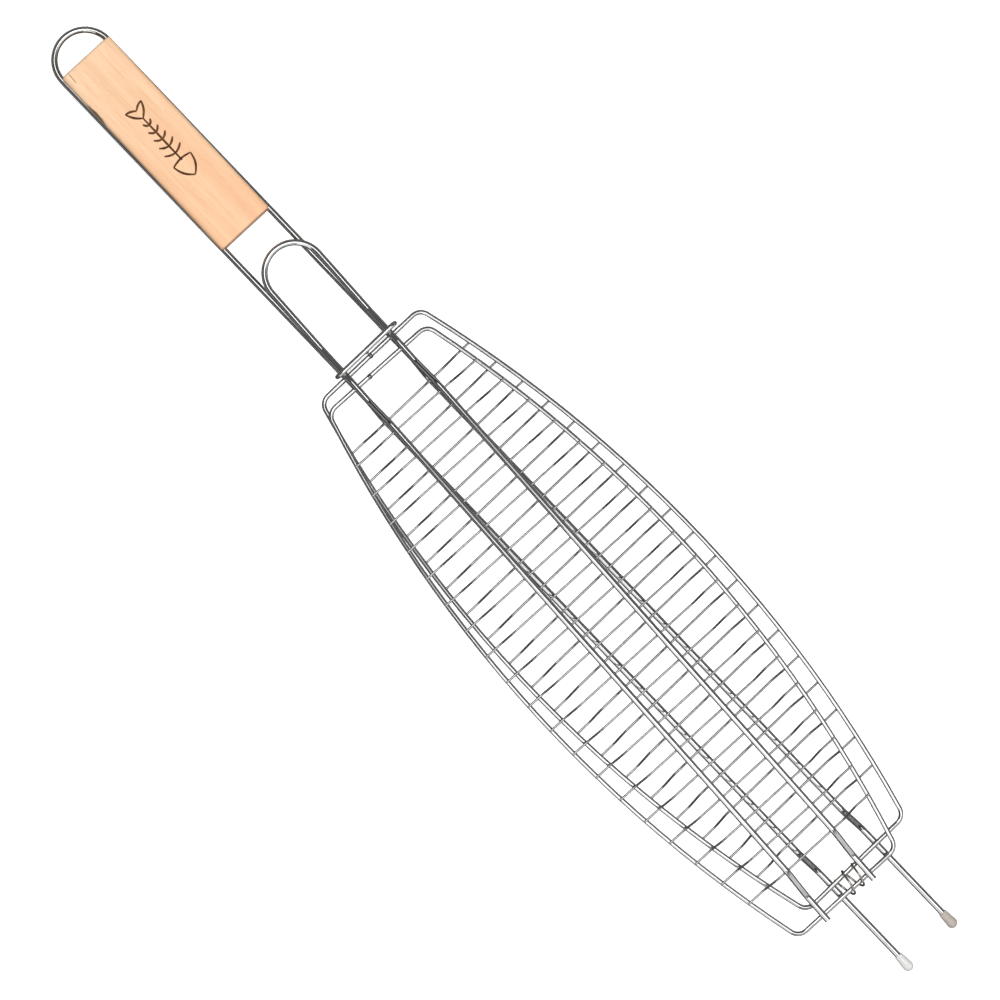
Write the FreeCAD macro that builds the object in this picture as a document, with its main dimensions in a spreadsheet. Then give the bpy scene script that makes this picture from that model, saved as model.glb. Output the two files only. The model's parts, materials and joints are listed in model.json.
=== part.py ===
import FreeCAD, Part
import math
import os
import re
import Sketcher
from FreeCAD import Placement, Rotation, Vector

# Grill basket for fish: two hinged halves of welded steel wire on a long handle.
#
# Each half is a closed wire frame with bent cross wires and a long U-shaped rod along it. The
# lower half's rod carries the wooden grip and the hanging loop, and its two free ends reach past
# the basket as legs with soft caps. The upper half's shorter rod folds down onto the lower one,
# where a sliding ring locks them. A loose wire coil round both far bars is the hinge.
#
# Every wire is drawn as one half of its centreline, swept and mirrored. +X runs from the hanging
# loop to the legs, +Y across the basket, +Z up. The origin is under the middle of the basket.

doc = FreeCAD.newDocument("grill_basket")

# --- Driving dimensions, in millimetres and degrees ---------------------------------------------

SIZES = {
    # wire gauges
    "rod_diameter": 4.0,
    "frame_wire": 3.0,
    "cross_wire": 1.5,
    "ring_wire": 2.8,
    "coil_wire": 1.4,
    "weld_gap": 0.03,
    # frames
    "frame_length": 432.0,
    "lower_half_width": 70.4,
    "upper_half_width": 69.2,
    "side_radius": 830.0,
    "corner_radius": 7.5,
    "frame_rise": 3.2,
    # cross wires
    "wire_count": 19,
    "wire_pitch": 20.0,
    "flange_length": 12.0,
    "slope_run": 9.6,
    "basket_depth": 10.0,
    "wire_overhang": 0.9,
    "wire_bend": 4.0,
    # rods
    "rod_spacing": 38.0,
    "rod_bend": 6.0,
    "nest_gap": 0.2,
    "lower_loop_reach": 271.9,
    "lower_step_start": 18.5,
    "lower_step_end": 32.5,
    "lower_step_back": 26.5,
    "lower_step_out": 12.5,
    "leg_reach": 66.8,
    "upper_loop_reach": 97.0,
    "splay_start": 32.0,
    "splay_end": 4.0,
    "upper_step_start": 12.0,
    "upper_step_end": 31.0,
    "upper_step_back": 35.0,
    "upper_step_out": 16.0,
    "upper_stub": 4.4,
    # how the upper half sits on the lower one
    "upper_advance": 9.4,
    "upper_rod_skew": 2.2,
    "upper_mesh_skew": 1.75,
    "lower_mesh_shift": 0.9,
    # grip
    "grip_length": 144.0,
    "grip_width": 39.4,
    "grip_thickness": 19.0,
    "grip_edge": 3.0,
    "grip_end_edge": 1.0,
    "grip_start": 18.5,
    "grip_yaw": 0.6,
    "groove_width": 4.1,
    "groove_depth": 3.7,
    # locking ring
    "ring_inner_width": 45.0,
    "ring_inner_height": 12.7,
    "ring_bend": 3.4,
    "ring_butt_gap": 0.5,
    "ring_setback": 4.2,
    "ring_side_shift": 1.35,
    "ring_lean": 4.0,
    "ring_lift": 0.1,
    # hinge coil
    "coil_radius": 7.7,
    "coil_pitch": 7.6,
    "coil_turns": 1.9,
    "coil_offset": 5.1,
    "coil_rise": 1.0,
    "coil_side": 16.0,
    "coil_start_angle": 162.0,
    # leg caps
    "cap_bore": 2.03,
    "cap_neck": 2.6,
    "cap_bulb": 3.4,
    "cap_taper": 8.6,
    "cap_depth": 8.0,
    "cap_overlap": 7.5,
}

sheet = doc.addObject("Spreadsheet::Sheet", "Sizes")
for row, (alias, value) in enumerate(SIZES.items(), start=1):
    sheet.set(f"A{row}", alias)
    sheet.set(f"B{row}", str(value))
    sheet.setAlias(f"B{row}", alias)
doc.recompute()


def sized(formula):
    """Point the size names in a formula at the sheet's cells."""
    return re.sub(r"[a-z_]+", lambda word: "Sizes." + word[0] if word[0] in SIZES else word[0], formula)


def number(formula):
    """The value of a formula of sizes."""
    return float(sheet.evalExpression(sized(formula)))


# --- Levels, from each half's own frame plane outwards ------------------------------------------

FLANGE_LEVEL = "(frame_wire + cross_wire) / 2 + weld_gap"
PLATEAU_LEVEL = f"({FLANGE_LEVEL} + basket_depth)"
ROD_AT_BAR = "((frame_wire + rod_diameter) / 2 + weld_gap)"
ROD_AT_PLATEAU = f"({PLATEAU_LEVEL} + (cross_wire + rod_diameter) / 2 + weld_gap)"

# The upper rod's handle part lies on the lower rod, measured from the upper frame plane.
ROD_NESTED = f"(rod_diameter + nest_gap - {ROD_AT_BAR} - frame_rise)"

FIRST_WIRE = "(frame_length - (wire_count - 1) * wire_pitch) / 2"


# --- Sketching helpers --------------------------------------------------------------------------

def new_body(name):
    body = doc.addObject("PartDesign::Body", name)
    body.Label = name
    return body


def origin_feature(body, role):
    return next(feature for feature in body.Origin.OriginFeatures if feature.Role == role)


def new_sketch(body, role, name, offset=None):
    """A sketch on one of the body's own planes, moved along the plane's normal by a formula."""
    sketch = body.newObject("Sketcher::SketchObject", name)
    sketch.AttachmentSupport = (origin_feature(body, role), [""])
    sketch.MapMode = "FlatFace"
    if offset:
        sketch.setExpression("AttachmentOffset.Base.z", sized(offset))
    return sketch


def bind(sketch, formula, kind, *geometry):
    """Add a dimension whose value is a formula of sizes."""
    index = sketch.addConstraint(Sketcher.Constraint(kind, *geometry, number(formula)))
    sketch.setExpression(f"Constraints[{index}]", sized(formula))


def pin(sketch, geometry, position, point):
    """Fix a point of the geometry at a pair of formulas."""
    bind(sketch, point[0], "DistanceX", -1, 1, geometry, position)
    bind(sketch, point[1], "DistanceY", -1, 1, geometry, position)


def add_circle(sketch, centre, diameter):
    middle = Vector(number(centre[0]), number(centre[1]), 0)
    circle = sketch.addGeometry(Part.Circle(middle, Vector(0, 0, 1), number(diameter) / 2))
    pin(sketch, circle, 3, centre)
    bind(sketch, diameter, "Diameter", circle)


def add_bent_path(sketch, corners, bend):
    """Straight runs between the corners, joined by tangent arcs of one bend radius."""
    points = [Vector(number(x), number(y), 0) for x, y in corners]
    radius = number(bend)
    starts, ends, centres = [points[0]], [], []
    for before, corner, after in zip(points, points[1:], points[2:]):
        back = (before - corner).normalize()
        ahead = (after - corner).normalize()
        half_angle = back.getAngle(ahead) / 2
        setback = radius / math.tan(half_angle)
        ends.append(corner + back * setback)
        starts.append(corner + ahead * setback)
        centres.append(corner + (back + ahead).normalize() * (radius / math.sin(half_angle)))
    ends.append(points[-1])

    runs = [sketch.addGeometry(Part.LineSegment(a, b)) for a, b in zip(starts, ends)]
    pin(sketch, runs[0], 1, corners[0])
    pin(sketch, runs[-1], 2, corners[-1])
    for index, (centre, corner) in enumerate(zip(centres, corners[1:-1])):
        first, second = runs[index], runs[index + 1]
        turns_left = (ends[index] - centre).cross(starts[index + 1] - centre).z > 0
        begin, finish = (ends[index], starts[index + 1]) if turns_left else (starts[index + 1], ends[index])
        bow = Part.Circle(centre, Vector(0, 0, 1), radius)
        arc = sketch.addGeometry(Part.ArcOfCircle(bow, angle_of(begin - centre), angle_of(finish - centre)))
        incoming, outgoing = (1, 2) if turns_left else (2, 1)
        sketch.addConstraint(Sketcher.Constraint("Tangent", first, 2, arc, incoming))
        sketch.addConstraint(Sketcher.Constraint("Tangent", second, 1, arc, outgoing))
        bind(sketch, bend, "Radius", arc)
        mark = sketch.addGeometry(Part.Point(points[index + 1]), True)
        pin(sketch, mark, 1, corner)
        sketch.addConstraint(Sketcher.Constraint("PointOnObject", mark, 1, first))
        sketch.addConstraint(Sketcher.Constraint("PointOnObject", mark, 1, second))


def angle_of(direction):
    """The angle of a direction in the sketch plane, from 0 to a full turn."""
    return math.atan2(direction.y, direction.x) % (2 * math.pi)


def sweep(body, profile, path, name):
    pipe = body.newObject("PartDesign::AdditivePipe", name)
    pipe.Profile = profile
    pipe.Spine = (path, [])
    return pipe


def mirror(body, feature, role, name):
    """Repeat a feature on the other side of a plane and make that the body's last feature."""
    mirrored = body.newObject("PartDesign::Mirrored", name)
    mirrored.Originals = [feature]
    mirrored.MirrorPlane = (origin_feature(body, role), [""])
    body.Tip = mirrored


def turned(degrees):
    return Rotation(Vector(0, 0, 1), degrees)


# --- Wires of the two halves --------------------------------------------------------------------

def half_width_at(half, along):
    """Half the frame's width at a distance along it: the sides are shallow arcs."""
    return (f"({half}_half_width - side_radius"
            f" + sqrt(side_radius ^ 2 - ({along} - frame_length / 2) ^ 2))")


def make_cross_wire(half, outward, index):
    """A wire that lies on the frame's two sides and steps outwards to a flat middle."""
    body = new_body(f"{half}_cross_wire_{index + 1:02d}")
    along = f"({FIRST_WIRE} + {index} * wire_pitch)"
    reach = half_width_at(half, along)
    flange, plateau = f"{outward} * ({FLANGE_LEVEL})", f"{outward} * {PLATEAU_LEVEL}"
    profile = new_sketch(body, "XZ_Plane", "WireSection")
    add_circle(profile, ("0", plateau), "cross_wire")
    path = new_sketch(body, "YZ_Plane", "WirePath")
    add_bent_path(path, [
        ("0", plateau),
        (f"{reach} - flange_length - slope_run", plateau),
        (f"{reach} - flange_length", flange),
        (f"{reach} + wire_overhang", flange),
    ], "wire_bend")
    mirror(body, sweep(body, profile, path, "HalfWire"), "XZ_Plane", "WholeWire")
    return body, number(along)


def make_frame(half):
    """The closed wire round one half: two straight end bars, two bowed sides, four tight corners."""
    body = new_body(f"{half}_frame")
    profile = new_sketch(body, "XZ_Plane", "FrameSection")
    add_circle(profile, ("0", "0"), "frame_wire")
    path = new_sketch(body, "XY_Plane", "FramePath")

    length, corner = number("frame_length"), number("corner_radius")
    radius = number("side_radius")
    bow_centre = Vector(length / 2, number(f"{half}_half_width") - radius, 0)
    corner_y = bow_centre.y + math.sqrt((radius - corner) ** 2 - (length / 2 - corner) ** 2)
    near_centre, far_centre = Vector(corner, corner_y, 0), Vector(length - corner, corner_y, 0)
    near_angle = angle_of(near_centre - bow_centre)
    far_angle = angle_of(far_centre - bow_centre)
    up = Vector(0, 0, 1)

    near_bar = path.addGeometry(Part.LineSegment(Vector(0, 0, 0), Vector(0, corner_y, 0)))
    near_bend = Part.Circle(near_centre, up, corner)
    near_corner = path.addGeometry(Part.ArcOfCircle(near_bend, near_angle, math.pi))
    side = path.addGeometry(Part.ArcOfCircle(Part.Circle(bow_centre, up, radius), far_angle, near_angle))
    far_bend = Part.Circle(far_centre, up, corner)
    far_corner = path.addGeometry(Part.ArcOfCircle(far_bend, 0, far_angle))
    far_bar = path.addGeometry(Part.LineSegment(Vector(length, corner_y, 0), Vector(length, 0, 0)))

    pin(path, near_bar, 1, ("0", "0"))
    pin(path, far_bar, 2, ("frame_length", "0"))
    for bar in (near_bar, far_bar):
        path.addConstraint(Sketcher.Constraint("Vertical", bar))
    path.addConstraint(Sketcher.Constraint("Tangent", near_bar, 2, near_corner, 2))
    path.addConstraint(Sketcher.Constraint("Tangent", near_corner, 1, side, 2))
    path.addConstraint(Sketcher.Constraint("Tangent", side, 1, far_corner, 2))
    path.addConstraint(Sketcher.Constraint("Tangent", far_corner, 1, far_bar, 1))
    pin(path, side, 3, ("frame_length / 2", f"{half}_half_width - side_radius"))
    for arc in (near_corner, far_corner):
        bind(path, "corner_radius", "Radius", arc)
    bind(path, "side_radius", "Radius", side)

    mirror(body, sweep(body, profile, path, "HalfFrame"), "XZ_Plane", "WholeFrame")
    return body


def make_rod(name, loop_centre, corners):
    """A U of thick rod: a round loop at the handle end and two stepped legs beside each other."""
    body = new_body(name)
    section = new_sketch(body, "YZ_Plane", "RodSection", loop_centre)
    add_circle(section, ("rod_spacing / 2", corners[0][1]), "rod_diameter")
    loop = body.newObject("PartDesign::Revolution", "Loop")
    loop.Profile = section
    loop.ReferenceAxis = (section, ["V_Axis"])
    loop.Angle = 180
    path = new_sketch(body, "XZ_Plane", "LegPath", "-rod_spacing / 2")
    add_bent_path(path, corners, "rod_bend")
    mirror(body, sweep(body, section, path, "Leg"), "XZ_Plane", "OtherLeg")
    return body


def make_lower_rod():
    loop_centre = "(rod_spacing / 2 - lower_loop_reach)"
    at_bar, at_plateau = f"-{ROD_AT_BAR}", f"-{ROD_AT_PLATEAU}"
    return make_rod("lower_handle_rod", loop_centre, [
        (loop_centre, at_bar),
        ("lower_step_start", at_bar),
        ("lower_step_end", at_plateau),
        ("frame_length - lower_step_back", at_plateau),
        ("frame_length - lower_step_out", at_bar),
        ("frame_length + leg_reach", at_bar),
    ])


def make_upper_rod():
    loop_centre = "(rod_spacing / 2 - upper_loop_reach)"
    return make_rod("upper_handle_rod", loop_centre, [
        (loop_centre, ROD_NESTED),
        ("-splay_start", ROD_NESTED),
        ("-splay_end", ROD_AT_BAR),
        ("upper_step_start", ROD_AT_BAR),
        ("upper_step_end", ROD_AT_PLATEAU),
        ("frame_length - upper_step_back", ROD_AT_PLATEAU),
        ("frame_length - upper_step_out", ROD_AT_BAR),
        ("frame_length + upper_stub", ROD_AT_BAR),
    ])


# --- Grip, ring, coil and caps ------------------------------------------------------------------

def make_grip():
    """A block of wood with a groove along each side that the lower rod's legs spring into."""
    body = new_body("wooden_grip")
    outline = new_sketch(body, "YZ_Plane", "GripSection")
    half_width, half_height = "grip_width / 2", "grip_thickness / 2"
    corners = [(f"-{half_width}", f"-{half_height}"), (half_width, f"-{half_height}"),
               (half_width, half_height), (f"-{half_width}", half_height)]
    points = [Vector(number(x), number(y), 0) for x, y in corners]
    edges = [outline.addGeometry(Part.LineSegment(a, b)) for a, b in zip(points, points[1:] + points[:1])]
    for edge, after in zip(edges, edges[1:] + edges[:1]):
        outline.addConstraint(Sketcher.Constraint("Coincident", edge, 2, after, 1))
    for edge, corner in zip(edges, corners):
        pin(outline, edge, 1, corner)
    block = body.newObject("PartDesign::Pad", "Block")
    block.Profile = outline
    block.setExpression("Length", sized("grip_length"))
    doc.recompute()
    round_edges(body, block, "LongEdges", "grip_edge", lambda edge: is_along(edge, Vector(1, 0, 0)))
    round_edges(body, body.Tip, "EndEdges", "grip_end_edge",
                lambda edge: abs(edge.BoundBox.XMax - edge.BoundBox.XMin) < 0.001)

    groove = new_sketch(body, "YZ_Plane", "GrooveSection")
    floor, rim = "(grip_width / 2 - groove_depth + groove_width / 2)", "(grip_width / 2 + groove_width)"
    top, bottom = "groove_width / 2", "-groove_width / 2"
    radius = number(top)
    round_end = groove.addGeometry(Part.ArcOfCircle(
        Part.Circle(Vector(number(floor), 0, 0), Vector(0, 0, 1), radius), math.pi / 2, math.pi * 3 / 2))
    sides = []
    route = [(floor, bottom), (rim, bottom), (rim, top), (floor, top)]
    for start, end in zip(route, route[1:]):
        a, b = (Vector(number(x), number(y), 0) for x, y in (start, end))
        sides.append(groove.addGeometry(Part.LineSegment(a, b)))
    for side, after in zip(sides, sides[1:]):
        groove.addConstraint(Sketcher.Constraint("Coincident", side, 2, after, 1))
    groove.addConstraint(Sketcher.Constraint("Coincident", round_end, 2, sides[0], 1))
    groove.addConstraint(Sketcher.Constraint("Coincident", round_end, 1, sides[-1], 2))
    for side, start in zip(sides, route):
        pin(groove, side, 1, start)
    pin(groove, sides[-1], 2, route[-1])
    bind(groove, floor, "DistanceX", -1, 1, round_end, 3)
    cut = body.newObject("PartDesign::Pocket", "Groove")
    cut.Profile = groove
    cut.Type = "ThroughAll"
    cut.Reversed = True
    mirror(body, cut, "XZ_Plane", "OtherGroove")
    return body


def is_along(edge, direction):
    return edge.Curve.TypeId == "Part::GeomLine" and abs(edge.tangentAt(0).dot(direction)) > 0.999


def round_edges(body, feature, name, radius, wanted):
    """Fillet every edge of a feature that passes the test."""
    names = [f"Edge{index}" for index, edge in enumerate(feature.Shape.Edges, start=1) if wanted(edge)]
    fillet = body.newObject("PartDesign::Fillet", name)
    fillet.Base = (feature, names)
    fillet.setExpression("Radius", sized(radius))
    body.Tip = fillet
    doc.recompute()


def make_ring():
    """A flat loop of wire round both rods. Its ends meet in the middle of the underside."""
    body = new_body("locking_ring")
    half_width = "((ring_inner_width + ring_wire) / 2)"
    half_height = "((ring_inner_height + ring_wire) / 2)"
    profile = new_sketch(body, "XZ_Plane", "RingSection")
    add_circle(profile, ("0", half_height), "ring_wire")
    path = new_sketch(body, "YZ_Plane", "RingPath")
    add_bent_path(path, [
        ("0", half_height),
        (half_width, half_height),
        (half_width, f"-{half_height}"),
        ("ring_butt_gap / 2", f"-{half_height}"),
    ], "ring_bend")
    mirror(body, sweep(body, profile, path, "HalfRing"), "XZ_Plane", "WholeRing")
    return body


def make_coil():
    """The loose wire coil that holds the two far bars together and lets them turn."""
    body = new_body("hinge_coil")
    profile = new_sketch(body, "XY_Plane", "CoilSection")
    add_circle(profile, ("coil_radius", "0"), "coil_wire")
    coil = body.newObject("PartDesign::AdditiveHelix", "Coil")
    coil.Profile = profile
    coil.ReferenceAxis = (origin_feature(body, "Y_Axis"), [""])
    coil.Mode = "pitch-turns-angle"
    coil.LeftHanded = True
    coil.setExpression("Pitch", sized("coil_pitch"))
    coil.setExpression("Turns", sized("coil_turns"))
    body.Tip = coil
    return body


def make_cap(name):
    """A soft cap on a leg: thin at the mouth, swelling to a round nose, with a blind bore."""
    body = new_body(name)
    section = new_sketch(body, "XZ_Plane", "CapSection")
    mouth, rim = ("0", "cap_bore"), ("0", "cap_neck")
    shoulder, nose = ("cap_taper", "cap_bulb"), ("cap_taper + cap_bulb", "0")
    bore_middle, bore_rim = ("cap_depth", "0"), ("cap_depth", "cap_bore")
    route = [nose, bore_middle, bore_rim, mouth, rim, shoulder]
    points = [Vector(number(x), number(y), 0) for x, y in route]
    lines = [section.addGeometry(Part.LineSegment(a, b)) for a, b in zip(points, points[1:])]
    round_nose = section.addGeometry(Part.ArcOfCircle(
        Part.Circle(Vector(number("cap_taper"), 0, 0), Vector(0, 0, 1), number("cap_bulb")), 0, math.pi / 2))
    for line, after in zip(lines, lines[1:]):
        section.addConstraint(Sketcher.Constraint("Coincident", line, 2, after, 1))
    section.addConstraint(Sketcher.Constraint("Coincident", lines[-1], 2, round_nose, 2))
    section.addConstraint(Sketcher.Constraint("Coincident", lines[0], 1, round_nose, 1))
    for line, start in zip(lines, route):
        pin(section, line, 1, start)
    pin(section, lines[-1], 2, shoulder)
    bind(section, "cap_bulb", "Radius", round_nose)
    cap = body.newObject("PartDesign::Revolution", "Cap")
    cap.Profile = section
    cap.ReferenceAxis = (origin_feature(body, "X_Axis"), [""])
    cap.Angle = 360
    body.Tip = cap
    return body


# --- Assembly -----------------------------------------------------------------------------------

def build():
    """Make every sub-part in its place. The lower rod's own frame is the shared one at first."""
    placed = {}
    middle = number("frame_length") / 2

    lower_mesh = Placement(Vector(0, number("lower_mesh_shift"), 0), Rotation())
    rod_turn, mesh_turn = turned(-number("upper_rod_skew")), turned(-number("upper_mesh_skew"))
    rod_foot = rod_turn.multVec(Vector(number("upper_advance"), 0, 0)) + Vector(0, 0, number("frame_rise"))
    mesh_middle = rod_foot + rod_turn.multVec(Vector(middle, 0, 0))
    upper_mesh = Placement(mesh_middle - mesh_turn.multVec(Vector(middle, 0, 0)), mesh_turn)

    placed[make_lower_rod()] = Placement()
    placed[make_upper_rod()] = Placement(rod_foot, rod_turn)
    for half, outward, mesh in (("lower", -1, lower_mesh), ("upper", 1, upper_mesh)):
        placed[make_frame(half)] = mesh
        for index in range(int(number("wire_count"))):
            wire, along = make_cross_wire(half, outward, index)
            placed[wire] = mesh * Placement(Vector(along, 0, 0), Rotation())

    rod_level = -number(ROD_AT_BAR)
    grip_middle = -number("lower_loop_reach - grip_start - grip_length / 2")
    yaw = turned(-number("grip_yaw"))
    grip_end = Vector(grip_middle, 0, rod_level) - yaw.multVec(Vector(number("grip_length") / 2, 0, 0))
    placed[make_grip()] = Placement(grip_end, yaw)

    ring_floor = rod_level - number("rod_diameter / 2 + ring_lift")
    ring_place = Vector(-number("ring_setback"), number("ring_side_shift"),
                        ring_floor + number("ring_inner_height") / 2)
    placed[make_ring()] = Placement(ring_place, Rotation(Vector(0, 1, 0), number("ring_lean")))

    far_bar = Vector(number("frame_length"), 0, 0)
    coil_place = far_bar + Vector(number("coil_offset"), -number("coil_side"), number("coil_rise"))
    coil_turn = turned(-number("upper_mesh_skew") / 2) * Rotation(Vector(0, 1, 0), number("coil_start_angle"))
    placed[make_coil()] = Placement(coil_place, coil_turn)

    leg_end = number("frame_length + leg_reach")
    for name, side in (("leg_cap_left", 1), ("leg_cap_right", -1)):
        place = Vector(leg_end - number("cap_overlap"), side * number("rod_spacing") / 2, rod_level)
        placed[make_cap(name)] = Placement(place, Rotation())

    doc.recompute()
    for body, place in placed.items():
        body.Placement = place
    doc.recompute()
    return list(placed), upper_mesh


def check(bodies):
    """Stop unless every object recomputed cleanly and every sub-part is one valid solid."""
    for item in doc.Objects:
        if {"Invalid", "Error"} & set(item.State):
            raise RuntimeError(f"{item.Name} failed: {item.State}")
    for body in bodies:
        shape = body.Shape
        if shape.isNull() or not shape.isValid() or len(shape.Solids) != 1:
            raise RuntimeError(f"{body.Label} is not one valid solid")


def stand_on_origin(bodies):
    """Move everything so that the origin is under the middle of the whole basket."""
    whole = Part.makeCompound([body.Shape for body in bodies]).optimalBoundingBox(False)
    shift = Vector(-whole.Center.x, -whole.Center.y, -whole.ZMin)
    for body in bodies:
        body.Placement = Placement(shift, Rotation()) * body.Placement
    doc.recompute()
    return shift


def main():
    bodies, upper_mesh = build()
    check(bodies)
    shift = stand_on_origin(bodies)
    check(bodies)
    length = number("frame_length")
    lower_bar = shift + Vector(length, number("lower_mesh_shift"), 0)
    upper_bar = shift + upper_mesh.multVec(Vector(length, 0, 0))
    across = upper_mesh.Rotation.multVec(Vector(0, 1, 0))
    print("lower far bar", lower_bar, "upper far bar", upper_bar, "along", across)
    print("lower rod frame", shift)
    os.makedirs("parts", exist_ok=True)
    for body in bodies:
        body.Shape.exportStep(f"parts/{body.Label}.step")
    print(len(bodies), "sub-parts")


main()
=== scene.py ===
import json
import math

import bmesh
import bpy
from mathutils import Matrix, Vector, noise
from mathutils.bvhtree import BVHTree


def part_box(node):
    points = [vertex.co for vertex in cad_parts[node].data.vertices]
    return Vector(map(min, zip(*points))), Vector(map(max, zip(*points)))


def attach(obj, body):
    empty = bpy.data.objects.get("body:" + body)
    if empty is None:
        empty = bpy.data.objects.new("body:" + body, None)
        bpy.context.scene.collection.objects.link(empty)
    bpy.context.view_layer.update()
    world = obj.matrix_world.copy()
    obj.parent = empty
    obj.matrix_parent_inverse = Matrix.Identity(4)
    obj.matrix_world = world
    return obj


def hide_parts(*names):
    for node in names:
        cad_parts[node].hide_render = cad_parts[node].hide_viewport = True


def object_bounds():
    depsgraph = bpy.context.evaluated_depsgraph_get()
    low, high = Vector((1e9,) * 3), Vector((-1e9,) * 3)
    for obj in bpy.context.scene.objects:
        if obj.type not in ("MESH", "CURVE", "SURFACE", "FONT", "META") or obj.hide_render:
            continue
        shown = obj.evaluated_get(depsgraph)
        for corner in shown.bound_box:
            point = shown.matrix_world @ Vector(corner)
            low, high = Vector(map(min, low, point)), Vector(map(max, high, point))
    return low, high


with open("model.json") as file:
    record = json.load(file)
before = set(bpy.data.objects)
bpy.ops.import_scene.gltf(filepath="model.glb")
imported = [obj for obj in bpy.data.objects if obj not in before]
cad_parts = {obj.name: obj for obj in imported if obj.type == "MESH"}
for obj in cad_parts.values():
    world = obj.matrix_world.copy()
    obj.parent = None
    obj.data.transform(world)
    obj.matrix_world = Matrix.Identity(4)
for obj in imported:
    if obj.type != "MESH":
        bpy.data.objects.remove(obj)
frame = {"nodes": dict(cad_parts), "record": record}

# Looks of the grill basket: bright chrome wire, a pale wooden grip with a burnt fish, and soft
# translucent caps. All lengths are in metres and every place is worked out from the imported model.

MM = 0.001
cad_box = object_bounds()
nodes = frame["nodes"]
bodies_of = frame["record"]["behaviour"]["bodies"]
scene = bpy.context.scene
scene.view_settings.view_transform = "Standard"


# --- Materials ------------------------------------------------------------------------------------

def set_stops(ramp, stops):
    """Give a colour ramp node its colours or greys, each at a place from 0 to 1."""
    elements = ramp.color_ramp.elements
    while len(elements) < len(stops):
        elements.new(0.5)
    for element, (position, colour) in zip(elements, stops):
        element.position = position
        element.color = (*colour, 1) if hasattr(colour, "__len__") else (colour,) * 3 + (1,)


class Shader:
    """A new node material and short ways to add and join its nodes."""

    def __init__(self, name):
        self.material = bpy.data.materials.new(name)
        self.material.use_nodes = True
        self.tree = self.material.node_tree
        self.surface = self.tree.nodes["Principled BSDF"]
        self.place = self.tree.nodes.new("ShaderNodeTexCoord").outputs["Object"]

    def join(self, source, socket):
        self.tree.links.new(source, socket)

    def node(self, kind, **settings):
        made = self.tree.nodes.new(kind)
        for name, value in settings.items():
            setattr(made, name, value)
        return made

    def noise(self, size, stretch=(1, 1, 1), detail=4, rough=0.55):
        """Noise whose features are about size metres across, drawn out by stretch."""
        spread = self.node("ShaderNodeMapping")
        spread.inputs["Scale"].default_value = [1 / (size * s) for s in stretch]
        self.join(self.place, spread.inputs["Vector"])
        made = self.node("ShaderNodeTexNoise")
        made.inputs["Scale"].default_value = 1
        made.inputs["Detail"].default_value = detail
        made.inputs["Roughness"].default_value = rough
        self.join(spread.outputs["Vector"], made.inputs["Vector"])
        return made.outputs["Fac"]

    def ramp(self, value, *stops):
        """Colours or greys at places along a value from 0 to 1."""
        made = self.node("ShaderNodeValToRGB")
        set_stops(made, stops)
        self.join(value, made.inputs["Fac"])
        return made.outputs["Color"]

    def mix(self, amount, first, second):
        """From the first colour to the second, as the amount goes from 0 to 1."""
        made = self.node("ShaderNodeMix", data_type="RGBA")
        for socket, value in ((0, amount), (6, first), (7, second)):
            if isinstance(value, bpy.types.NodeSocket):
                self.join(value, made.inputs[socket])
            else:
                made.inputs[socket].default_value = value if socket == 0 else (*value, 1)
        return made.outputs[2]

    def math(self, operation, first, second):
        made = self.node("ShaderNodeMath", operation=operation)
        for socket, value in zip(made.inputs, (first, second)):
            if isinstance(value, bpy.types.NodeSocket):
                self.join(value, socket)
            else:
                socket.default_value = value
        return made.outputs[0]

    def near(self, point, radius, stretch=(1, 1, 1)):
        """1 at a point, falling to 0 at a radius that stretch draws out."""
        shift = self.node("ShaderNodeVectorMath", operation="SUBTRACT")
        self.join(self.place, shift.inputs[0])
        shift.inputs[1].default_value = point
        scale = self.node("ShaderNodeVectorMath", operation="MULTIPLY")
        self.join(shift.outputs[0], scale.inputs[0])
        scale.inputs[1].default_value = [1 / (radius * s) for s in stretch]
        length = self.node("ShaderNodeVectorMath", operation="LENGTH")
        self.join(scale.outputs[0], length.inputs[0])
        return self.math("SUBTRACT", 1.0, length.outputs["Value"])

    def bump(self, height, distance, strength=1.0):
        made = self.node("ShaderNodeBump")
        made.inputs["Distance"].default_value = distance
        made.inputs["Strength"].default_value = strength
        self.join(height, made.inputs["Height"])
        self.join(made.outputs["Normal"], self.surface.inputs["Normal"])

    def set(self, **values):
        for name, value in values.items():
            self.surface.inputs[name.replace("_", " ")].default_value = value


def chrome(name, tint, roughness, ripple):
    """Bright plating over drawn wire: a little cloudiness and faint drawing ripples."""
    shader = Shader(name)
    shader.set(Metallic=1.0)
    cloud = shader.noise(9 * MM)
    grime = shader.ramp(cloud, (0.35, [c * 0.86 for c in tint]), (0.65, tint))
    shader.join(grime, shader.surface.inputs["Base Color"])
    smears = shader.noise(2.5 * MM, detail=6)
    sheen = shader.ramp(smears, (0.3, roughness * 0.7), (0.75, roughness * 1.5))
    shader.join(sheen, shader.surface.inputs["Roughness"])
    shader.bump(shader.noise(1.6 * MM), ripple)
    return shader.material


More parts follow.
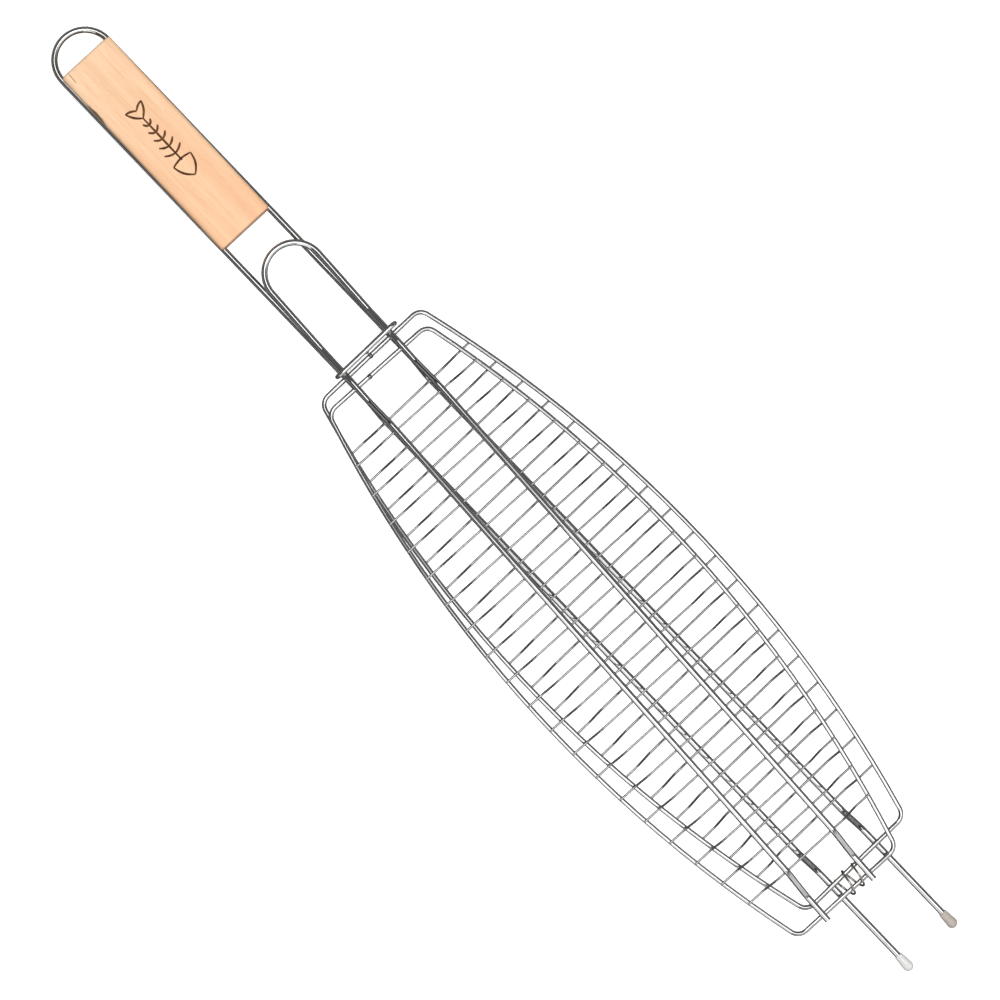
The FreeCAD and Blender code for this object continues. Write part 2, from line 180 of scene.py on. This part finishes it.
def pine(name):
    """Fine-sanded pale pine, warmer towards the basket, with soft grain and a dark patch of painted
    shade at the edge beside the rod.
    """
    shader = Shader(name)
    grip_low, grip_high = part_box("wooden_grip")
    shader.set(Specular_IOR_Level=0.35)
    broad = shader.noise(7 * MM, stretch=(14, 1, 1), detail=3)
    fine = shader.noise(0.8 * MM, stretch=(30, 1, 1), detail=5, rough=0.7)
    pores = shader.noise(0.35 * MM, stretch=(16, 1, 1), detail=2)
    loop_end = shader.ramp(broad, (0.38, (0.890, 0.620, 0.405)), (0.62, (0.840, 0.550, 0.340)))
    basket_end = shader.ramp(broad, (0.38, (0.885, 0.540, 0.325)), (0.62, (0.825, 0.465, 0.265)))
    warmth = shader.near(grip_high, (grip_high - grip_low).length)
    wood = shader.mix(warmth, loop_end, basket_end)
    streaks = shader.ramp(fine, (0.50, 0.0), (0.74, 0.80))
    wood = shader.mix(streaks, wood, (0.76, 0.400, 0.210))
    flecks = shader.ramp(pores, (0.62, 0.0), (0.74, 0.35))
    wood = shader.mix(flecks, wood, (0.50, 0.27, 0.12))
    # A dark brown patch on the top face at the edge beside the rod's groove: painted shade.
    shade_spot = (grip_low.x + 31 * MM, grip_low.y + 0.6 * MM, grip_high.z - 3 * MM)
    reach = shader.near(shade_spot, 3.2 * MM, stretch=(3.6, 1, 1.3))
    ragged = shader.math("ADD", reach, shader.math("MULTIPLY", shader.noise(2.2 * MM), 0.5))
    painted_shade = shader.ramp(ragged, (0.32, 0.0), (0.62, 0.85))
    wood = shader.mix(painted_shade, wood, (0.085, 0.035, 0.012))
    shader.join(wood, shader.surface.inputs["Base Color"])
    rough = shader.ramp(fine, (0.3, 0.50), (0.8, 0.68))
    shader.join(rough, shader.surface.inputs["Roughness"])
    shader.bump(fine, 0.06 * MM, 0.6)
    return shader.material


def burnt(name):
    """Wood charred by a hot iron: patchy, from near black to a browner char."""
    shader = Shader(name)
    shader.set(Roughness=0.8, Specular_IOR_Level=0.2)
    patchy = shader.noise(1.6 * MM, stretch=(3, 1, 1), detail=5)
    char = shader.ramp(patchy, (0.35, (0.045, 0.018, 0.008)), (0.7, (0.19, 0.075, 0.028)))
    shader.join(char, shader.surface.inputs["Base Color"])
    shader.bump(patchy, 0.05 * MM)
    return shader.material


def silicone(name, tint, milkiness):
    """Translucent silicone rubber with a slightly dusty skin."""
    shader = Shader(name)
    shader.set(IOR=1.41, Transmission_Weight=1 - milkiness)
    shader.set(Subsurface_Weight=0.5, Subsurface_Scale=1.2 * MM, Subsurface_Radius=(1.0, 0.9, 0.8))
    dust = shader.noise(1.8 * MM, detail=5)
    colour = shader.ramp(dust, (0.35, tint), (0.7, [min(1, c * 1.12) for c in tint]))
    shader.join(colour, shader.surface.inputs["Base Color"])
    rough = shader.ramp(dust, (0.3, 0.28), (0.75, 0.46))
    shader.join(rough, shader.surface.inputs["Roughness"])
    shader.bump(dust, 0.04 * MM, 0.5)
    return shader.material


def dress(obj, material):
    """Give an object one material."""
    obj.data.materials.clear()
    obj.data.materials.append(material)


# --- Mesh helpers ---------------------------------------------------------------------------------

def piece(name, mesh, body, slot, material, *replaced):
    """Put a finished mesh, in the shared frame, on a body."""
    obj = bpy.data.objects.new(name, mesh)
    scene.collection.objects.link(obj)
    dress(obj, material)
    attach(obj, body)
    if replaced:
        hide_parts(*replaced)
    return obj


def finished(shape, name):
    """A bmesh as a smooth mesh with outward normals."""
    bmesh.ops.recalc_face_normals(shape, faces=shape.faces)
    mesh = bpy.data.meshes.new(name)
    shape.to_mesh(mesh)
    shape.free()
    for face in mesh.polygons:
        face.use_smooth = True
    return mesh


def points_of(name):
    return [vertex.co.copy() for vertex in nodes[name].data.vertices]


def surface_of(name):
    mesh = nodes[name].data
    return BVHTree.FromPolygons([v.co for v in mesh.vertices], [p.vertices for p in mesh.polygons])


# --- Welds ----------------------------------------------------------------------------------------

TOUCHING = 0.25 * MM
SAME_SPOT = 4 * MM
RING_WIRE_RADIUS = 1.4 * MM

# Half the width and half the height of each kind of bead.
WIRE_ON_ROD = (1.05 * MM, 0.62 * MM)
WIRE_ON_FRAME = (1.25 * MM, 0.62 * MM)
ROD_ON_FRAME = (1.7 * MM, 0.95 * MM)
FRAME_BUTT = (1.78 * MM, 2.4 * MM)
RING_BUTT = (1.58 * MM, 1.5 * MM)


def contacts(wire, mate_surface):
    """Where a wire touches another: the middle of each gap, and the direction across it."""
    found = []
    for point in points_of(wire):
        nearest, _, _, gap = mate_surface.find_nearest(point, TOUCHING)
        if nearest is None:
            continue
        spot = next((s for s in found if (s[0][0] - point).length < SAME_SPOT), None)
        if spot is None:
            spot = []
            found.append(spot)
        spot.append(((point + nearest) / 2, nearest - point, gap))
    return [min(spot, key=lambda touch: touch[2])[:2] for spot in found]


def add_nugget(shape, centre, across, size, seed):
    """A small uneven bead squeezed out between two wires."""
    width, height = size
    made = bmesh.ops.create_icosphere(shape, subdivisions=3, radius=1.0)["verts"]
    turn = across.normalized().to_track_quat("Z", "Y").to_matrix()
    for vertex in made:
        lump = 1 + 0.16 * noise.noise(vertex.co * 1.7 + Vector((seed * 3.1, 0, 0)))
        local = Vector((vertex.co.x * width, vertex.co.y * width, vertex.co.z * height)) * lump
        vertex.co = centre + turn @ local


def make_welds(half, material):
    """The beads where a half's wires meet its rod and frame, and where the frame's ends meet."""
    shape = bmesh.new()
    rod, bars = f"{half}_handle_rod", f"{half}_frame"
    rod_surface, frame_surface = surface_of(rod), surface_of(bars)
    wires = [name for name in bodies_of[f"{half}_half"] if "cross_wire" in name]
    seed = 0
    for wire in wires:
        for mate, size in ((rod_surface, WIRE_ON_ROD), (frame_surface, WIRE_ON_FRAME)):
            for centre, across in contacts(wire, mate):
                add_nugget(shape, centre, across, size, seed)
                seed += 1
    for centre, across in contacts(rod, frame_surface):
        add_nugget(shape, centre, across, ROD_ON_FRAME, seed)
        seed += 1
    butt = near_bar_point(bars, frame_surface)
    add_nugget(shape, butt, Vector((0, 1, 0)), FRAME_BUTT, seed)
    piece(f"{half}_welds", finished(shape, f"{half}_welds"), f"{half}_half", "steel", material)


def near_bar_point(bars, surface):
    """The middle of the near bar's wire, where the ends of the frame's wire are butt-welded."""
    low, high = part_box(bars)
    middle = (low + high) / 2
    wire_radius = (high.z - low.z) / 2
    hit = surface.ray_cast(Vector((low.x - 10 * MM, middle.y, middle.z)), Vector((1, 0, 0)))[0]
    return hit + Vector((wire_radius, 0, 0))


def make_ring_joint(material):
    """The bead that closes the ring's wire under the rods."""
    shape = bmesh.new()
    low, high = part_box("locking_ring")
    middle = (low + high) / 2
    lower_x = high.x - RING_WIRE_RADIUS
    under = Vector((lower_x, middle.y + 1 * MM, low.z - 10 * MM))
    hit = surface_of("locking_ring").ray_cast(under, Vector((0, 0, 1)))[0]
    bottom = hit.z if hit else low.z
    place = Vector((lower_x, middle.y, bottom + RING_WIRE_RADIUS))
    add_nugget(shape, place, Vector((0, 1, 0)), RING_BUTT, seed=7)
    piece("ring_joint", finished(shape, "ring_joint"), "locking_ring", "steel", material)


# --- Grip -----------------------------------------------------------------------------------------

GRIP_EDGE = 3.0 * MM
GRIP_END_EDGE = 1.0 * MM
GROOVE_WIDTH = 4.1 * MM
GROOVE_DEPTH = 3.7 * MM
GROOVE_LIP = 0.3 * MM
STEPS_ACROSS = 44
STEPS_ALONG = 230


def grip_frame():
    """The grip's own axes: along the wood, across it and up, from its middle."""
    points = points_of("wooden_grip")
    low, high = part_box("wooden_grip")
    ends = []
    for end in (low.x, high.x):
        near = [p for p in points if abs(p.x - end) < 2 * MM]
        ends.append(sum(near, Vector()) / len(near))
    along = (ends[1] - ends[0]).normalized()
    along.z = 0
    up = Vector((0, 0, 1))
    across = up.cross(along)
    turn = Matrix((along, across, up)).transposed().to_4x4()
    frame_matrix = Matrix.Translation((low + high) / 2) @ turn
    local = [frame_matrix.inverted() @ p for p in points]
    half = Vector([max(abs(p[axis]) for p in local) for axis in range(3)])
    return frame_matrix, half


def arc(centre, radius, start, end, steps):
    """Points round part of a circle, from one angle in degrees to another."""
    angles = [math.radians(start + (end - start) * step / steps) for step in range(steps + 1)]
    return [(centre[0] + radius * math.cos(a), centre[1] + radius * math.sin(a)) for a in angles]


def grip_section(half_width, half_height):
    """Half the outline, from the groove on the right over the top to the groove on the left."""
    lip, floor = GROOVE_WIDTH / 2, half_width - GROOVE_DEPTH + GROOVE_WIDTH / 2
    edge_y, edge_z = half_width - GRIP_EDGE, half_height - GRIP_EDGE
    groove = arc((floor, 0), lip, 180, 90, 6)
    wall = [(half_width - GROOVE_LIP, lip), (half_width, lip + GROOVE_LIP)]
    steps = range(1, STEPS_ACROSS)
    top = [(edge_y - 2 * edge_y * step / STEPS_ACROSS, half_height) for step in steps]
    right = groove + wall + arc((edge_y, edge_z), GRIP_EDGE, 0, 90, 7)
    left = [(-y, z) for y, z in reversed(right)]
    return right + top + left


def make_grip(wood, char):
    """A sanded block with rounded edges, grooved along both sides for the rod's legs."""
    place, half = grip_frame()
    upper = grip_section(half.y, half.z)
    outline = upper + [(y, -z) for y, z in reversed(upper)][1:-1]
    rings = []
    shape = bmesh.new()
    for station in range(STEPS_ALONG + 1):
        x = half.x * (2 * station / STEPS_ALONG - 1)
        to_end = min(half.x - abs(x), GRIP_END_EDGE)
        inset = GRIP_END_EDGE - math.sqrt(GRIP_END_EDGE ** 2 - (GRIP_END_EDGE - to_end) ** 2)
        rings.append([shape.verts.new(grip_point(x, y, z, inset, half)) for y, z in outline])
    for before, after in zip(rings, rings[1:]):
        for index in range(len(outline)):
            following = (index + 1) % len(outline)
            shape.faces.new((before[index], before[following], after[following], after[index]))
    caps = [shape.faces.new(rings[0]), shape.faces.new(rings[-1])]
    bmesh.ops.triangulate(shape, faces=caps)
    shape.transform(place)
    piece("grip", finished(shape, "grip"), "lower_half", "wood", wood, "wooden_grip")
    make_fish(place, half, char)
    make_crack(place, half, char)


def grip_point(x, y, z, inset, half):
    """A point of the wood's skin, drawn in at the rounded ends and worn a little by sanding."""
    point = Vector((x, y * (1 - inset / half.y), z * (1 - inset / half.z)))
    wear = 0.10 * MM * (0.5 + 0.5 * noise.noise(Vector((x * 30, y * 90, z * 90))))
    grain = 0.03 * MM * (0.5 + 0.5 * noise.noise(Vector((x * 60, y * 1400, z * 1400))))
    outwards = Vector((0, y / half.y, z / half.z)).normalized()
    return point - outwards * (wear + grain)


# --- Burnt fish -----------------------------------------------------------------------------------

CHAR_THICKNESS = 0.10 * MM
LINE_WIDTH = 1.5 * MM
RIBS = 5


def burn_line(shape, points, width, place, surface_height):
    """A charred line on the wood's top: a flat bead that narrows towards its ends."""
    sides = 12
    rings = []
    for index, point in enumerate(points):
        before, after = points[max(index - 1, 0)], points[min(index + 1, len(points) - 1)]
        ahead = (Vector(after) - Vector(before)).normalized()
        sideways = Vector((-ahead.y, ahead.x))
        taper = 0.65 + 0.35 * math.sin(math.pi * index / (len(points) - 1))
        ring = []
        for side in range(sides):
            angle = 2 * math.pi * side / sides
            flat = Vector(point) + sideways * (math.cos(angle) * width / 2 * taper)
            height = surface_height + CHAR_THICKNESS * math.sin(angle)
            ring.append(shape.verts.new(place @ Vector((flat.x, flat.y, height))))
        rings.append(ring)
    for first, second in zip(rings, rings[1:]):
        for side in range(sides):
            following = (side + 1) % sides
            shape.faces.new((first[side], first[following], second[following], second[side]))
    shape.faces.new(rings[0])
    shape.faces.new(rings[-1])


def bow(start, end, sag, steps=12):
    """A shallow curve from one point to another."""
    first, last = Vector(start), Vector(end)
    chord = last - first
    aside = Vector((-chord.y, chord.x)).normalized() * sag
    parts = [step / steps for step in range(steps + 1)]
    return [first + chord * part + aside * math.sin(math.pi * part) for part in parts]


def make_crack(place, half, material):
    """A short drying crack along the grain at the end beside the hanging loop, drawn as a thin dark
    line in the charred colour: painted shade for the gap.
    """
    shape = bmesh.new()
    start = Vector((-half.x + 0.8 * MM, -half.y + 4.8 * MM))
    line = bow(start, start + Vector((7.5 * MM, -0.5 * MM)), 0.15 * MM)
    burn_line(shape, line, 0.42 * MM, place, half.z - 0.08 * MM)
    piece("grip_crack", finished(shape, "grip_crack"), "lower_half", "wood", material)


def make_fish(place, half, material):
    """A plain fish skeleton: backbone, ribs, a pointed head and a forked tail."""
    shape = bmesh.new()
    top = half.z - 0.06 * MM
    head, neck, tail_root, tail = 27 * MM, 15 * MM, -20 * MM, -29 * MM
    lines = [bow((neck, 0), (tail_root, 0), 0.0, 20)]
    for side in (1, -1):
        lines.append(bow((neck, side * 7 * MM), (head, 0), side * 1.6 * MM))
        lines.append(bow((tail_root, 0), (tail, side * 6.5 * MM), side * -1.0 * MM))
        lines.append(bow((tail, side * 6.5 * MM), (tail + 3 * MM, 0), side * -0.6 * MM))
    lines.append(bow((neck, -7 * MM), (neck, 7 * MM), 1.2 * MM))
    for rib in range(RIBS):
        foot = neck - (rib + 1) * (neck - tail_root) / (RIBS + 1)
        reach = (6.5 - 0.9 * rib) * MM
        for side in (1, -1):
            lines.append(bow((foot, 0), (foot - 3 * MM, side * reach), side * -0.5 * MM))
    for line in lines:
        burn_line(shape, line, LINE_WIDTH, place, top)
    piece("burnt_fish", finished(shape, "burnt_fish"), "lower_half", "wood", material)


# --- Floor, light and camera ----------------------------------------------------------------------

FLOOR_REACH = 4.0
FLOOR_GAP = 0.2 * MM
FLOOR_GLOW = 0.55


def make_floor():
    """A plain pale floor under the object, dimmer in what the chrome mirrors."""
    shape = bmesh.new()
    bmesh.ops.create_grid(shape, x_segments=8, y_segments=8, size=FLOOR_REACH)
    floor = bpy.data.objects.new("floor", finished(shape, "floor"))
    scene.collection.objects.link(floor)
    floor.location.z = cad_box[0].z - FLOOR_GAP
    shader = Shader("pale_floor")
    shader.set(Roughness=0.9, Specular_IOR_Level=0.1, Emission_Strength=FLOOR_GLOW)
    shader.set(Base_Color=(0.90, 0.90, 0.90, 1), Emission_Color=(1, 1, 1, 1))
    dim = shader.node("ShaderNodeBsdfDiffuse")
    dim.inputs["Color"].default_value = (0.10, 0.10, 0.10, 1)
    shown_direct(shader.tree, shader.surface.outputs[0], dim.outputs[0],
                 shader.tree.nodes["Material Output"].inputs["Surface"])
    dress(floor, shader.material)


def shown_direct(tree, direct, other, target):
    """One shader for what is looked at directly, and another for what lights and reflects."""
    path = tree.nodes.new("ShaderNodeLightPath")
    choice = tree.nodes.new("ShaderNodeMixShader")
    tree.links.new(path.outputs["Is Camera Ray"], choice.inputs[0])
    tree.links.new(other, choice.inputs[1])
    tree.links.new(direct, choice.inputs[2])
    tree.links.new(choice.outputs[0], target)


def world_ramp(tree, direction, stops):
    """Greys along one component of the direction looked in."""
    made = tree.nodes.new("ShaderNodeValToRGB")
    set_stops(made, stops)
    tree.links.new(direction, made.inputs["Fac"])
    return made.outputs["Color"]


def added(tree, first, second):
    """The sum of two colours."""
    both = tree.nodes.new("ShaderNodeMix")
    both.data_type, both.blend_type = "RGBA", "ADD"
    both.inputs[0].default_value = 1.0
    tree.links.new(first, both.inputs[6])
    tree.links.new(second, both.inputs[7])
    return both.outputs[2]


def make_room():
    """A pale backdrop. The chrome mirrors a dim room, lighter above, low down and past the legs."""
    world = bpy.data.worlds.new("studio")
    scene.world = world
    world.use_nodes = True
    tree = world.node_tree
    room = tree.nodes["Background"]
    place = tree.nodes.new("ShaderNodeTexCoord")
    split = tree.nodes.new("ShaderNodeSeparateXYZ")
    tree.links.new(place.outputs["Generated"], split.inputs[0])
    rising = ((0.0, 0.35), (0.28, 0.45), (0.40, 0.03), (0.60, 0.03), (0.90, 0.18), (1.0, 0.80))
    ceiling = world_ramp(tree, split.outputs["Z"], rising)
    legs_wall = world_ramp(tree, split.outputs["X"], ((0.35, 0.0), (0.80, 0.60)))
    tree.links.new(added(tree, ceiling, legs_wall), room.inputs["Color"])
    backdrop = tree.nodes.new("ShaderNodeBackground")
    backdrop.inputs["Color"].default_value = (0.93, 0.93, 0.94, 1)
    surface = tree.nodes["World Output"].inputs["Surface"]
    shown_direct(tree, backdrop.outputs[0], room.outputs[0], surface)


def make_lamp(name, place, size, brightness, turn=(0, 0, 0), mirrored=True):
    """A flat soft lamp that faces down until turned, as bright as a white wall at brightness 1."""
    data = bpy.data.lights.new(name, "AREA")
    data.shape = "RECTANGLE"
    data.size, data.size_y = size
    data.energy = brightness * math.pi * size[0] * size[1]
    lamp = bpy.data.objects.new(name, data)
    scene.collection.objects.link(lamp)
    lamp.location = place
    lamp.rotation_euler = [math.radians(angle) for angle in turn]
    lamp.visible_camera = False
    lamp.visible_glossy = mirrored


def make_lamps():
    """A broad lamp over the hinge end, one to its right, a slim one over the handle, and a fill."""
    middle = (cad_box[0] + cad_box[1]) / 2
    make_lamp("broad_lamp", middle + Vector((0.34, 0, 1.2)), (0.45, 1.3), 1.9, turn=(0, 0, -20))
    make_lamp("side_lamp", middle + Vector((0.42, -1.0, 0.95)), (0.8, 1.3), 1.25, turn=(90, 0, 0))
    make_lamp("slim_lamp", middle + Vector((-0.36, 0.05, 1.3)), (0.55, 0.22), 3.5)
    make_lamp("fill_lamp", middle + Vector((-0.2, 0.3, 2.2)), (2.4, 2.4), 2.3, mirrored=False)


def make_camera():
    """Above the basket and slightly towards its right side, rolled so that it lies diagonally."""
    tilt, roll = math.radians(5.0), math.radians(46.3)
    distance, view_width = 3.0, 0.615
    middle = (cad_box[0] + cad_box[1]) / 2
    aim = Vector((middle.x + 4.6 * MM, middle.y + 0.7 * MM, cad_box[0].z + 17 * MM))
    data = bpy.data.cameras.new("camera")
    data.sensor_width = 36.0
    data.lens = data.sensor_width * distance / view_width
    data.clip_start, data.clip_end = 0.05, 50.0
    camera = bpy.data.objects.new("camera", data)
    scene.collection.objects.link(camera)
    turn = Matrix.Rotation(tilt, 4, "X") @ Matrix.Rotation(roll, 4, "Z")
    camera.matrix_world = Matrix.Translation(aim) @ turn @ Matrix.Translation((0, 0, distance))
    scene.camera = camera


# --- The whole model ------------------------------------------------------------------------------

def main():
    """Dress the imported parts, add the new pieces, and set up the studio."""
    steel = chrome("chrome_wire", (0.65, 0.65, 0.645), 0.07, 0.010 * MM)
    # The cross wires get a darker, rougher copy of the chrome; its darker tint is painted shade
    # that dims their reflections.
    shaded_thin_steel = chrome("chrome_thin_wire_shaded", (0.42, 0.42, 0.42), 0.14, 0.012 * MM)
    coil_steel = chrome("tinted_coil", (0.64, 0.585, 0.54), 0.16, 0.012 * MM)
    weld_steel = chrome("chrome_welds", (0.34, 0.33, 0.32), 0.22, 0.03 * MM)
    for name, node in nodes.items():
        if "cross_wire" in name:
            dress(node, shaded_thin_steel)
        elif name == "hinge_coil":
            dress(node, coil_steel)
        elif name not in ("wooden_grip", "leg_cap_left", "leg_cap_right"):
            dress(node, steel)
    make_grip(pine("pale_pine"), burnt("burnt_wood"))
    dress(nodes["leg_cap_left"], silicone("beige_silicone", (0.52, 0.465, 0.415), 0.85))
    dress(nodes["leg_cap_right"], silicone("clear_silicone", (0.84, 0.835, 0.82), 0.75))
    for half in ("lower", "upper"):
        make_welds(half, weld_steel)
    make_ring_joint(weld_steel)
    make_floor()
    make_room()
    make_lamps()
    make_camera()


main()
